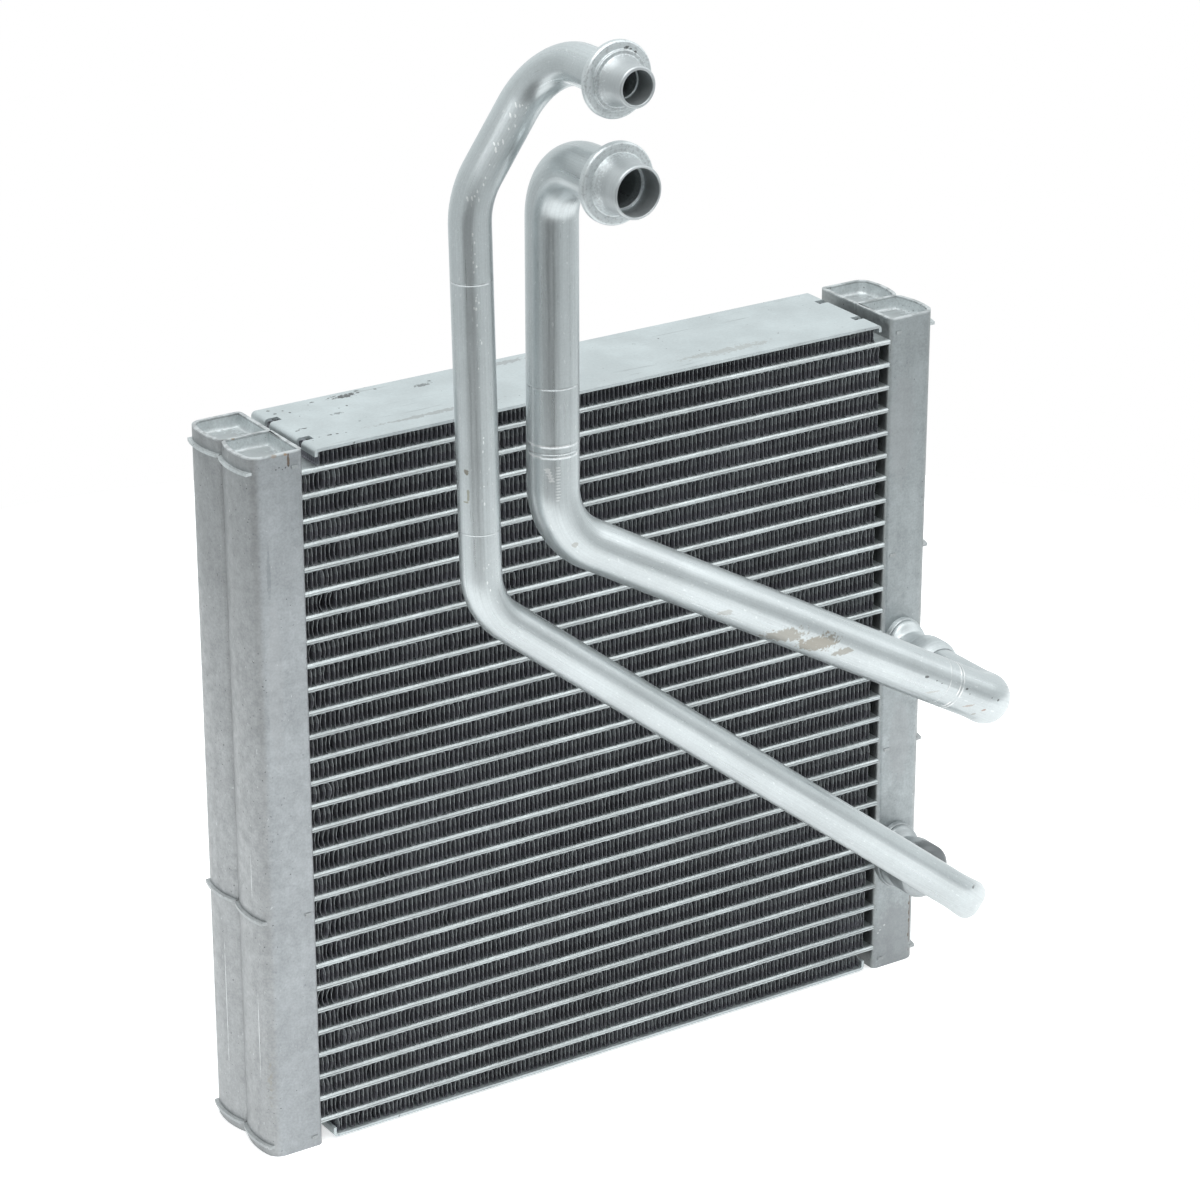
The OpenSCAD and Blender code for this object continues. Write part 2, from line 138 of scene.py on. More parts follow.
class Look(Graph):
    """A principled material, with short calls for the patterns on these surfaces."""

    def __init__(self, name, metallic, roughness):
        self.material = bpy.data.materials.new(name)
        super().__init__(self.material)
        self.shader = self.node("ShaderNodeBsdfPrincipled")
        self.shader.inputs["Metallic"].default_value = metallic
        self.shader.inputs["Roughness"].default_value = roughness
        output = self.node("ShaderNodeOutputMaterial")
        self.link(self.shader.outputs[0], output.inputs["Surface"])
        self.place = self.node("ShaderNodeTexCoord").outputs["Object"]

    def axis(self, letter, source=None):
        n = self.node("ShaderNodeSeparateXYZ")
        self.link(source or self.place, n.inputs[0])
        return n.outputs["XYZ".index(letter)]

    def off_middle(self, letter):
        """Distance from the core's middle plane along one axis."""
        return self.math("ABSOLUTE", self.axis(letter))

    def uv(self):
        return self.node("ShaderNodeUVMap").outputs[0]

    def stretched(self, scale, shift=(0, 0, 0), source=None):
        n = self.node("ShaderNodeMapping")
        self.fill(n, Vector=source or self.place, Scale=scale, Location=shift)
        return n.outputs[0]

    def noise(self, scale, detail=3.0, roughness=0.55):
        """Noise over the object at one scale, or over the stretched place given instead."""
        n = self.node("ShaderNodeTexNoise")
        stretched = hasattr(scale, "is_output")
        vector, scale = (scale, 1.0) if stretched else (self.place, scale)
        self.fill(n, Vector=vector, Scale=scale, Detail=detail, Roughness=roughness)
        return n.outputs["Fac"]

    def varied(self, noise, to_low, to_high):
        """The usual values of a noise, stretched to run from to_low to to_high."""
        return self.span(noise, 0.3, 0.7, to_low, to_high)

    def mix(self, factor, a, b):
        n = self.node("ShaderNodeMix")
        n.data_type = "RGBA"
        self.feed(n.inputs["Factor"], factor)
        for socket, value in ((n.inputs[6], a), (n.inputs[7], b)):
            self.feed(socket, value if hasattr(value, "is_output") else (*value, 1.0))
        return n.outputs[2]

    def shade(self, colour, factor):
        """The colour times a grey factor."""
        n = self.node("ShaderNodeVectorMath")
        n.operation = "SCALE"
        self.feed(n.inputs[0], colour)
        self.feed(n.inputs["Scale"], factor)
        return n.outputs[0]

    def grainy(self, base, fine, coarse, fine_scale, coarse_scale):
        """A base colour with fine grain and slow changes of tone."""
        grain = self.varied(self.noise(fine_scale), 1 - fine, 1 + fine)
        tone = self.varied(self.noise(coarse_scale, 4.0), 1 - coarse, 1 + coarse)
        return self.shade(base, self.product(grain, tone))

    def patch(self, centre, size, ragged, grain):
        """1 in a ragged ellipsoid about centre with these half sizes, in metres, and 0 outside."""
        n = self.node("ShaderNodeMapping")
        n.vector_type = "TEXTURE"
        self.fill(n, Vector=self.place, Location=centre, Scale=size)
        length = self.node("ShaderNodeVectorMath")
        length.operation = "LENGTH"
        self.link(n.outputs[0], length.inputs[0])
        edge = self.product(self.math("SUBTRACT", self.noise(grain, 4.0), 0.5), 2 * ragged)
        return self.span(self.math("ADD", length.outputs["Value"], edge), 0.7, 1.0, 1.0, 0.0)

    def stained_and_shaded(self, colour, marks, ragged, grain):
        """The colour with a patch for each mark, which is (centre, half sizes, tint, strength).
        Marks are stains, wear and painted shadow.
        """
        for centre, size, tint, strength in marks:
            mask = self.product(self.patch(centre, size, ragged, grain), strength)
            colour = self.mix(mask, colour, tint)
        return colour

    def colour(self, value):
        self.feed(self.shader.inputs["Base Color"], value)

    def roughness(self, value):
        self.feed(self.shader.inputs["Roughness"], value)

    def bump(self, height, distance, strength):
        n = self.node("ShaderNodeBump")
        self.fill(n, Height=height, Distance=distance, Strength=strength)
        self.link(n.outputs[0], self.shader.inputs["Normal"])


# Colours of the metals

LEFT_HEADER = (0.375, 0.395, 0.41)
RIGHT_HEADER = (0.37, 0.4, 0.41)
BAFFLE = (0.42, 0.44, 0.445)
END_PLATE = (0.41, 0.435, 0.44)
RECESS_FLOOR = (0.43, 0.455, 0.46)
SIDE_PLATE = (0.58, 0.63, 0.64)
TUBE = (0.7, 0.75, 0.755)
# The fins' dark colour is painted shade between the tubes
FIN_SHADED = (0.28, 0.28, 0.315)
FIN_EDGE_SHADE = (0.26, 0.265, 0.285)
FIN_CREST_LIGHT = (0.55, 0.59, 0.59)
SUCTION_PIPE = (0.6, 0.64, 0.65)
LIQUID_PIPE = (0.59, 0.63, 0.64)
SUCTION_BOSS = (0.62, 0.66, 0.67)
LIQUID_BOSS = (0.46, 0.49, 0.5)
# Painted shadow on the end of the liquid boss's barrel, under the pipe
BARREL_END_SHADOW = (0.15, 0.16, 0.165)
FITTING = (0.67, 0.71, 0.72)
FITTING_NOSE = (0.4, 0.42, 0.43)

# Colours of dirt and wear, and of painted shade and painted highlight

BLACK_SPECK = (0.06, 0.06, 0.06)
SOOT = (0.07, 0.07, 0.07)
HEADER_SPECK = (0.08, 0.08, 0.08)
PALE_SPECK = (0.75, 0.78, 0.78)
LOUVRE_SLIT_SHADE = (0.05, 0.05, 0.05)
GROOVE_SHADE = (0.13, 0.13, 0.13)
SHADE_BETWEEN_TUBES = (0.14, 0.14, 0.14)
TUBE_GROOVE_SHADE = (0.3, 0.31, 0.31)
PIPE_RUB = (0.3, 0.31, 0.31)
PLATE_STREAK = (0.28, 0.3, 0.3)
RIM_HIGHLIGHT = (0.74, 0.77, 0.78)
HEADER_SCRATCH = (0.85, 0.88, 0.88)
PIPE_PIT = (0.92, 0.95, 0.95)
PIPE_SCRATCH = (0.95, 0.97, 0.97)
DARK_BROWN = (0.16, 0.1, 0.06)
RUST = (0.42, 0.24, 0.1)
TAN = (0.31, 0.285, 0.24)
STRAW = (0.3, 0.27, 0.17)


# Materials

def header_look(name, base, marks, scratches=(), metallic=0.8, bow=(0.97, 0.95, 0.93)):
    """Extruded header: dull, with fine grain and faint lines along its length.

    bow is the tone of every face but the flat front and rear ones, next to theirs. Where it is
    above 1, the lighter tone is painted light."""
    look = Look(name, metallic=metallic, roughness=0.42)
    across, outward = look.off_middle("Y"), look.off_middle("X")
    flat = look.span(across, CORE_D / 2 - 1 * MM, CORE_D / 2)
    tint = look.mix(flat, tuple(c * w for c, w in zip(base, bow)), base)
    lines = look.varied(look.noise(look.stretched((260, 260, 5))), 0.97, 1.03)
    mottle = look.varied(look.noise(330, detail=5.0, roughness=0.7), 0.93, 1.07)
    colour = look.shade(look.grainy(tint, 0.07, 0.06, 1300, 70), look.product(lines, mottle))
    specks = look.span(look.noise(1000, detail=1.5), 0.71, 0.75, 0.0, 0.7)
    colour = look.mix(specks, colour, HEADER_SPECK)
    pale = look.noise(look.stretched((900, 900, 500), (3, 3, 3)), 2.0)
    colour = look.mix(look.span(pale, 0.7, 0.76, 0.0, 0.45), colour, PALE_SPECK)
    # Painted shade: the side that faces the core is darkened between the tubes, where shade falls
    inner = look.span(outward, CORE_HALF + 0.2 * MM, CORE_HALF + 0.9 * MM, 0.45, 0.0)
    below = look.span(look.axis("Z"), TOP_TUBE, TOP_TUBE + 3 * MM, 1.0, 0.0)
    deep = look.span(across, CORE_D / 2 - 2 * MM, CORE_D / 2 - 0.8 * MM, 1.0, 0.0)
    colour = look.mix(look.product(inner, below, deep), colour, SHADE_BETWEEN_TUBES)
    # Painted shade: a thin dark line in the groove between the two bows
    groove = look.span(across, 0.2 * MM, 0.5 * MM, 0.85, 0.0)
    outer = look.span(outward, CORE_HALF + HEADER_W - 6 * MM, CORE_HALF + HEADER_W - 5 * MM)
    colour = look.mix(look.product(groove, outer), colour, GROOVE_SHADE)
    # Painted highlight on the cut rim at the top, broken up by noise
    rim = look.span(look.axis("Z"), HEADER_HIGH.z - 0.6 * MM, HEADER_HIGH.z - 0.25 * MM, 0.0, 0.8)
    uneven = look.span(look.noise(280, detail=2.0), 0.4, 0.6, 0.35, 1.0)
    colour = look.mix(look.product(rim, uneven), colour, RIM_HIGHLIGHT)
    colour = look.stained_and_shaded(colour, marks, ragged=0.8, grain=700)
    scratch_marks = [(*scratch, HEADER_SCRATCH, 0.75) for scratch in scratches]
    colour = look.stained_and_shaded(colour, scratch_marks, ragged=0.6, grain=500)
    look.colour(colour)
    look.roughness(look.varied(look.noise(350), 0.36, 0.5))
    look.bump(look.noise(look.stretched((1300, 1300, 300))), distance=0.05 * MM, strength=0.35)
    return look.material


def plate_look(name, base, marks):
    """Rolled sheet: pale, with dark specks and a few streaks along X."""
    look = Look(name, metallic=0.7, roughness=0.45)
    colour = look.grainy(base, 0.03, 0.07, 1100, 55)
    specks = look.span(look.noise(420, detail=2.5), 0.70, 0.75, 0.0, 0.75)
    colour = look.mix(specks, colour, SOOT)
    streaks = look.noise(look.stretched((30, 330, 330), (3, 1, 2)))
    colour = look.mix(look.span(streaks, 0.62, 0.72, 0.0, 0.4), colour, PLATE_STREAK)
    look.colour(look.stained_and_shaded(colour, marks, ragged=1.6, grain=800))
    look.roughness(look.varied(look.noise(220), 0.36, 0.55))
    look.bump(look.noise(look.stretched((120, 900, 900))), distance=0.06 * MM, strength=0.4)
    return look.material


def off_tube(look):
    """Height above the middle of the nearest flat tube, negative below it."""
    pitches = look.math("DIVIDE", look.math("SUBTRACT", look.axis("Z"), TUBE_MID), TUBE_PITCH)
    off_whole = look.math("SUBTRACT", pitches, look.math("ROUND", pitches))
    return look.product(off_whole, TUBE_PITCH)


def tube_look(name):
    """Extruded flat tube: pale, with a greyer line of painted shade along the groove in the middle
    of its edge.
    """
    look = Look(name, metallic=0.8, roughness=0.4)
    runs = look.span(look.noise(look.stretched((60, 500, 500))), 0.35, 0.7, 0.85, 1.06)
    colour = look.shade(look.grainy(TUBE, 0.06, 0.07, 900, 40), runs)
    # Painted shade along the groove in the middle of the rounded edge, broken up by noise
    groove = look.span(look.math("ABSOLUTE", off_tube(look)), 0.1 * MM, 0.3 * MM, 0.7, 0.0)
    broken = look.span(look.noise(look.stretched((25, 300, 120))), 0.35, 0.6, 0.25, 1.0)
    look.colour(look.mix(look.product(groove, broken), colour, TUBE_GROOVE_SHADE))
    look.roughness(look.varied(look.noise(500), 0.36, 0.5))
    look.bump(look.noise(look.stretched((200, 1200, 1200))), distance=0.05 * MM, strength=0.5)
    return look.material


LOUVRE_PITCH = 1.2 * MM


def fin_look(name):
    """Fin sheet: its dark base colour is painted shade between the tubes, and its louvre slits
    across each leg are painted as dark lines of shade.
    """
    look = Look(name, metallic=0.6, roughness=0.5)
    # Painted shade: the sheet's dark base colour
    colour = look.grainy(FIN_SHADED, 0.12, 0.2, 900, 30)
    # Painted shade in the louvre slits: a dark line across each leg, which the bump also shapes
    wave = look.math("SINE", look.product(look.axis("Y"), 2 * math.pi / LOUVRE_PITCH))
    colour = look.mix(look.span(wave, 0.5, 0.9, 0.0, 0.5), colour, LOUVRE_SLIT_SHADE)
    # Painted shade on the cut edges at the front and the back: a band a little darker than the
    # sheet, which tones down the light they catch
    depth = look.off_middle("Y")
    edge = look.span(depth, FIN_HALF - 0.5 * MM, FIN_HALF - 0.15 * MM)
    uneven = look.span(look.noise(260), 0.3, 0.65, 0.4, 1.0)
    colour = look.mix(look.product(edge, uneven), colour, FIN_EDGE_SHADE)
    # Painted light: the crests that rest on the tube below, where filler metal is, are lighter near
    # the front and back faces
    crest = look.span(off_tube(look), 0.85 * MM, 1.7 * MM, 0.75, 0.0)
    near_face = look.span(depth, FIN_HALF - 3 * MM, FIN_HALF - 0.5 * MM)
    look.colour(look.mix(look.product(crest, near_face, uneven), colour, FIN_CREST_LIGHT))
    look.bump(wave, distance=0.1 * MM, strength=0.4)
    return look.material


def pipe_look(name, base, rings, marks, scratches):
    """Drawn pipe: satin, with faint lines along it and raised seam rings, whose pale tones are
    painted highlight and dark tones painted shade.

    u of its UV map is the distance along the pipe in metres, and v is the turn about it."""
    look = Look(name, metallic=0.8, roughness=0.32)
    uv = look.uv()
    lines = look.varied(look.noise(look.stretched((5, 90, 1), source=uv), 4.0), 0.95, 1.035)
    colour = look.shade(look.grainy(base, 0.035, 0.05, 1500, 45), lines)
    pits = look.noise(look.stretched((420, 44, 1), source=uv), 2.5)
    colour = look.mix(look.span(pits, 0.64, 0.72, 0.0, 0.4), colour, PIPE_PIT)
    rubs = look.noise(look.stretched((110, 60, 1), (7, 3, 0), uv))
    colour = look.mix(look.span(rubs, 0.66, 0.72, 0.0, 0.35), colour, PIPE_RUB)
    along = look.axis("X", uv)
    height = look.noise(look.stretched((90, 60, 1), source=uv))
    # Each ring raises a seam in the bump and paints its tone on it: pale tones are painted
    # highlight, dark ones painted shade
    for place, width, tone, strength in rings:
        near = look.math("ABSOLUTE", look.math("SUBTRACT", along, place))
        height = look.math("ADD", height, look.span(near, 0.0, 1.5 * width, 3.0, 0.0))
        ring = look.span(near, width * 0.4, width, strength, 0.0)
        gaps = look.noise(look.stretched((40, 14, 1), (place * 9, 0, 0), uv))
        broken = look.span(gaps, 0.38, 0.6)
        colour = look.mix(look.product(ring, broken), colour, (tone, tone, tone))
    colour = look.stained_and_shaded(colour, marks, ragged=1.1, grain=700)
    scratch_marks = [(*scratch, PIPE_SCRATCH, 0.85) for scratch in scratches]
    colour = look.stained_and_shaded(colour, scratch_marks, ragged=0.8, grain=1500)
    look.colour(colour)
    look.roughness(look.varied(look.noise(look.stretched((20, 40, 1), source=uv)), 0.27, 0.38))
    look.bump(height, distance=0.05 * MM, strength=0.6)
    return look.material


def turned_look(name, base, marks, ragged):
    """Turned fitting: satin, with fine tool lines round its axis."""
    look = Look(name, metallic=0.8, roughness=0.46)
    tool = look.noise(look.stretched((1, 2600, 1), source=look.uv()), 2.0)
    colour = look.shade(look.grainy(base, 0.03, 0.06, 1500, 160), look.varied(tool, 0.95, 1.04))
    look.colour(look.stained_and_shaded(colour, marks, ragged=ragged, grain=1400))
    look.bump(tool, distance=0.03 * MM, strength=0.5)
    return look.material


# Pieces

def add_piece(name, verts, faces, material, replaced=(), uvs=None, sharp=40.0):
    """A mesh piece on the root body. uvs holds one pair for each corner of each face."""
    mesh = bpy.data.meshes.new(name)
    mesh.from_pydata(verts, [], faces)
    if uvs is not None:
        layer = mesh.uv_layers.new(name="UVMap")
        layer.data.foreach_set("uv", [c for pair in uvs for c in pair])
    mesh.materials.append(material)
    mesh.shade_smooth()
    mesh.set_sharp_from_angle(angle=math.radians(sharp))
    mesh.update()
    piece = bpy.data.objects.new(name, mesh)
    scene.collection.objects.link(piece)
    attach(piece, "root")
    if replaced:
        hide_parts(*replaced)
    return piece


def bevel(piece, width, segments=2, angle=40.0):
    """Rounds the edges that turn by more than the angle."""
    modifier = piece.modifiers.new("edge", "BEVEL")
    modifier.width = width
    modifier.segments = segments
    modifier.limit_method = "ANGLE"
    modifier.angle_limit = math.radians(angle)
    modifier.harden_normals = False


def dress(node, material, edge):
    """Gives a CAD node its material and rounds its edges."""
    piece = nodes[node]
    for slot in piece.material_slots:
        slot.material = material
    bevel(piece, edge)


def fix_normals(piece):
    shape = bmesh.new()
    shape.from_mesh(piece.data)
    bmesh.ops.recalc_face_normals(shape, faces=shape.faces)
    shape.to_mesh(piece.data)
    shape.free()


def ring_quads(rings, count, start=0):
    """Quads between neighbouring closed rings of count points each, from vertex start on."""
    quads = []
    for ring in range(rings - 1):
        first = start + ring * count
        for i in range(count):
            a, b = first + i, first + (i + 1) % count
            quads.append((a, b, b + count, a + count))
    return quads


def uv_quad(u_from, u_to, v_from, v_to):
    return [(u_from, v_from), (u_from, v_to), (u_to, v_to), (u_to, v_from)]


def arc(x, y, r, start, end, steps):
    angles = [math.radians(start + (end - start) * i / steps) for i in range(steps + 1)]
    return [(x + r * math.cos(a), y + r * math.sin(a)) for a in angles]


# Headers: the outline is the part's own, with rounder arcs

HEADER_WALL = 1.3 * MM
HEADER_BOW = 2 * MM
HEADER_R = 4.8 * MM
HEADER_INNER_R = 1.8 * MM
BOW_STEPS = 16
CORNER_STEPS = 12
INNER_STEPS = 8
HEADER_EDGE = 0.45 * MM
GROOVE_DEPTH = 1.4 * MM
GROOVE_HALF = 1 * MM
NOTCH_DEPTH = 0.6 * MM
NOTCH_HALF = 0.7 * MM
CELL = CORE_D / 4


def header_loops():
    """The outer loop and the two cell loops, with X outwards from the core."""
    bow_r = (CELL ** 2 + HEADER_BOW ** 2) / (2 * HEADER_BOW)
    bow_x = HEADER_W - bow_r
    rise = CELL - HEADER_R
    corner_x = bow_x + math.sqrt((bow_r - HEADER_R) ** 2 - rise ** 2)
    turn = math.degrees(math.asin(rise / (bow_r - HEADER_R)))

    def bow(r, reach):
        return arc(bow_x, CELL, r, turn, -math.degrees(math.asin(reach / r)), BOW_STEPS)[1:]

    groove_x = bow_x + math.sqrt(bow_r ** 2 - (CELL - GROOVE_HALF) ** 2) - GROOVE_DEPTH
    half = CORE_D / 2
    rear = ([(0, NOTCH_HALF)]
            + arc(HEADER_INNER_R, half - HEADER_INNER_R, HEADER_INNER_R, 180, 90, INNER_STEPS)
            + arc(corner_x, half - HEADER_R, HEADER_R, 90, turn, CORNER_STEPS)
            + bow(bow_r, CELL - GROOVE_HALF))
    front = [(x, -y) for x, y in reversed(rear)]
    outer = [(NOTCH_DEPTH, 0)] + rear + [(groove_x, 0)] + front
    cell = ([(HEADER_WALL, HEADER_WALL / 2), (HEADER_WALL, half - HEADER_WALL)]
            + arc(corner_x, half - HEADER_R, HEADER_R - HEADER_WALL, 90, turn, CORNER_STEPS)
            + bow(bow_r - HEADER_WALL, CELL - HEADER_WALL / 2))
    return [outer, cell, [(x, -y) for x, y in reversed(cell)]]


def header(side, material):
    """An extruded header with open rims. side is -1 for the left one."""
    loops = header_loops()
    flat = [p for loop in loops for p in loop]
    count = len(flat)
    verts = [(side * (CORE_HALF + x), y, z) for z in (HEADER_LOW.z, HEADER_HIGH.z) for x, y in flat]
    faces = []
    start = 0
    for loop in loops:
        n = len(loop)
        for i in range(n):
            a, b = start + i, start + (i + 1) % n
            faces.append((a, b, b + count, a + count))
        start += n
    for triangle in tessellate_polygon([[Vector((x, y, 0)) for x, y in loop] for loop in loops]):
        faces.append(tuple(triangle))
        faces.append(tuple(i + count for i in reversed(triangle)))
    node = "left_header" if side < 0 else "right_header"
    piece = add_piece(node + "_shell", verts, faces, material, [node])
    fix_normals(piece)
    bevel(piece, HEADER_EDGE, 4, angle=50)


FILLET_R = 1.6 * MM
FILLET_STEPS = 5
BELOW_RIM = 0.6 * MM
FILM = 0.02 * MM


def fillets(name, side, top, bottom, material):
    """Filler metal that lines the recesses beyond the end plates and rounds their corners."""
    verts, faces = [], []
    for level, up in ((top, 1), (bottom, -1)):
        depth = (HEADER_HIGH.z - top if up > 0 else bottom - HEADER_LOW.z) - BELOW_RIM
        film = [(0.0, depth)]
        for k in range(FILLET_STEPS + 1):
            a = math.pi / 2 * k / FILLET_STEPS
            film.append((FILLET_R * (1 - math.cos(a)), FILLET_R * (1 - math.sin(a))))
        for loop in header_loops()[1:]:
            mid_x = sum(p[0] for p in loop) / len(loop)
            mid_y = sum(p[1] for p in loop) / len(loop)
            faces += ring_quads(len(film), len(loop), len(verts))
            for inward, rise in film:
                for x, y in loop:
                    near = 1 - (FILM + inward) / math.hypot(x - mid_x, y - mid_y)
                    verts.append((side * (CORE_HALF + mid_x + (x - mid_x) * near),
                                  mid_y + (y - mid_y) * near, level + up * (rise + FILM)))
    piece = add_piece(name, verts, faces, material)
    fix_normals(piece)


# Flat tubes

TUBE_EDGE_GROOVE = 0.3 * MM
TUBE_GROOVE_SPREAD = 0.28
TUBE_RIPPLE = 0.05
TUBE_EDGE_STEPS = 12
TUBE_STATIONS = 48


def flat_tube(node, material, rng):
    """A flat tube with a shallow groove along the middle of each rounded edge."""
    a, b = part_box(node)
    half_t = (b.z - a.z) / 2
    mid = (b.z + a.z) / 2
    half_w = (b.y - a.y) / 2
    nose = []
    for i in range(TUBE_EDGE_STEPS + 1):
        t = math.radians(-90 + 180 * i / TUBE_EDGE_STEPS)
        dip = TUBE_EDGE_GROOVE * math.exp(-(math.sin(t) / TUBE_GROOVE_SPREAD) ** 2)
        nose.append((half_w - half_t + half_t * math.cos(t) - dip, half_t * math.sin(t)))
    section = nose + [(-y, -z) for y, z in nose]
    verts = []
    for i in range(TUBE_STATIONS + 1):
        x = a.x + (b.x - a.x) * i / TUBE_STATIONS
        ripple = [rng.uniform(-TUBE_RIPPLE, TUBE_RIPPLE) * MM for _ in range(2)]
        for y, z in section:
            verts.append((x, y + ripple[y > 0] * (abs(y) > half_w * 0.9), mid + z))
    n = len(section)
    faces = ring_quads(TUBE_STATIONS + 1, n)
    faces.append(tuple(reversed(range(n))))
    faces.append(tuple(range(TUBE_STATIONS * n, TUBE_STATIONS * n + n)))
    piece = add_piece(node + "_grooved", verts, faces, material, [node])
    fix_normals(piece)


# Fins

FIN_WAVES = 66
FIN_T = 0.1 * MM
FIN_CREST_R = 0.7 * MM
FIN_ROOT = 2.2 * MM
PLATE_BEND = 1.3 * MM
# How far the sheet strays from an even fold: standard deviations in millimetres
STRAY_PLACE = 0.05
STRAY_TILT = 0.06
STRAY_BELLY = 0.1
STRAY_LEAN = 0.1
# The front edge leans further in the legs near a row's ends, and each leg takes after the last
END_LEAN = 0.35
START_LEGS = 10
END_LEGS = 6
END_SHARE = 0.6
LEAN_KEPT = 0.6
# Height up the leg and share of its belly for the two points between the folds
BELLY_POINTS = ((0.38, 0.8), (0.64, 1.0))
# Share of its leg's lean that each point of the front edge takes
LEG_LEANS = (0, 0.1, 0.2, 0.4, 1, 1, 0.4, 0.2, 0.1, 0)


def fin_profile(x_from, x_to, z_from, z_to, rng):
    """Centre line of one folded row, and for each point how far its front edge leans."""
    legs = 2 * FIN_WAVES
    step = (x_to - x_from) / legs
    bottom, top = z_from + FIN_T / 2, z_to - FIN_T / 2
    r = FIN_CREST_R
    points, leans = [], []
    lean = 0.0
    for k in range(legs):
        x = x_from + (k + 0.5) * step + rng.gauss(0, STRAY_PLACE) * MM
        tilt = rng.gauss(0, STRAY_TILT) * MM
        belly = rng.gauss(0, STRAY_BELLY) * MM
        near_end = max(0.0, 1 - k / START_LEGS) + END_SHARE * max(0.0, 1 - (legs - k) / END_LEGS)
        lean = LEAN_KEPT * lean + rng.gauss(0, STRAY_LEAN + END_LEAN * near_end) * MM
        up = 1 if k % 2 == 0 else -1
        first, last = (bottom, top)[::up]
        low_turn = arc(x - tilt - r, first + up * r, r, -90 * up, 0, 3)
        high_turn = arc(x + tilt + r, last - up * r, r, 180, 180 - 90 * up, 3)
        middle_part = [(x + belly * share, first + (last - first) * height)
                       for height, share in BELLY_POINTS]
        points += low_turn + middle_part + high_turn
        leans += [lean * share for share in LEG_LEANS]
    return np.array(points), np.array(leans)


def fin_mesh(x_from, x_to, z_from, z_to, y_front, y_back, rng):
    """Vertices and quads of one folded row of thin sheet."""
    line, lean = fin_profile(x_from, x_to, z_from, z_to, rng)
    count = len(line)
    tangent = np.gradient(line, axis=0)
    tangent /= np.linalg.norm(tangent, axis=1)[:, None]
    normal = np.stack([-tangent[:, 1], tangent[:, 0]], 1) * (FIN_T / 2)
    depths = [y_front, y_front + FIN_ROOT, y_back]
    rows = []
    for side in (-1, 1):
        for d, y in enumerate(depths):
            shift = lean if d == 0 else 0 * lean
            xz = line + side * normal
            rows.append(np.stack([xz[:, 0] + shift, np.full(count, y), xz[:, 1]], 1))
    verts = np.concatenate(rows)
    i = np.arange(count - 1)

    def strip(a, b, flip):
        quad = [a * count + i, a * count + i + 1, b * count + i + 1, b * count + i]
        return np.stack(quad[::-1] if flip else quad, 1)

    # Rows 0 to 2 are one side of the sheet from front to back, and rows 3 to 5 are the other
    strips = ((0, 1, False), (1, 2, False), (3, 4, True), (4, 5, True), (3, 0, False),
              (2, 5, False))
    return verts, np.concatenate([strip(a, b, flip) for a, b, flip in strips])


def fin_group(node, first_row, material, rng):
    """The three rows of one CAD node, each between its two neighbours."""
    a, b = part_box(node)
    plate_low, plate_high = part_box("top_side_plate")
    verts, faces, start = [], [], 0
    for row in range(first_row, first_row + 3):
        top = low(TUBES[row - 2]).z if row > 1 else b.z
        bottom = high(TUBES[row - 1]).z if row <= len(TUBES) else a.z
        # The outer rows stop at the side plates' bent ends
        outer = row in (1, len(TUBES) + 1)
        x_from = plate_low.x + PLATE_BEND if outer else a.x
        x_to = plate_high.x - PLATE_BEND if outer else b.x
        v, f = fin_mesh(x_from, x_to, bottom, top, a.y, b.y, rng)
        verts.append(v)
        faces.append(f + start)
        start += len(v)
    add_piece(node.replace("fin_rows", "louvred_fins"), np.concatenate(verts).tolist(),
              np.concatenate(faces).tolist(), material, [node])


# Pipes: each bend is (share flattened on its outer side, share widened across)

STRAIGHT = (0.0, 0.0)
FIRST_BEND_WIDE = 0.08
OTHER_BENDS = (0.03, 0.01)
INNER_FLATTENED = 0.3
BEND_STEP = 4.0
LEAST_TURN = 1e-4
LONGEST_STRETCH = 4 * MM
PIPE_SIDES = 48


def fillet_path(corners, radii, heel):
    """Points along a path of straights and round bends, and each point's flattened and wide share.

    heel is the share flattened in the first bend, which is the tightest."""
    points = [Vector(corners[0])]
    bends = [STRAIGHT]
    for i, radius in enumerate(radii, 1):
        before, corner, after = (Vector(corners[i + k]) for k in (-1, 0, 1))
        into, out = (corner - before).normalized(), (after - corner).normalized()
        angle = into.angle(out)
        setback = radius * math.tan(angle / 2)
        start = corner - into * setback
        side = (out - into * out.dot(into)).normalized()
        flat, wide = (heel, FIRST_BEND_WIDE) if i == 1 else OTHER_BENDS
        steps = max(4, int(math.degrees(angle) / BEND_STEP))
        for k in range(steps + 1):
            a = angle * k / steps
            points.append(start + into * radius * math.sin(a) + side * radius * (1 - math.cos(a)))
            swell = math.sin(math.pi * k / steps)
            bends.append((flat * swell, wide * swell))
    points.append(Vector(corners[-1]))
    bends.append(STRAIGHT)
    return refine(points, bends)


def refine(points, bends):
    """Adds points along the straights, so that no stretch is much longer than the longest."""
    out, tight = [points[0]], [bends[0]]
    for a, b, bend in zip(points, points[1:], bends[1:]):
        pieces = max(1, int((b - a).length / LONGEST_STRETCH))
        for k in range(1, pieces + 1):
            out.append(a.lerp(b, k / pieces))
            tight.append(bend if pieces == 1 else STRAIGHT)
    return out, tight


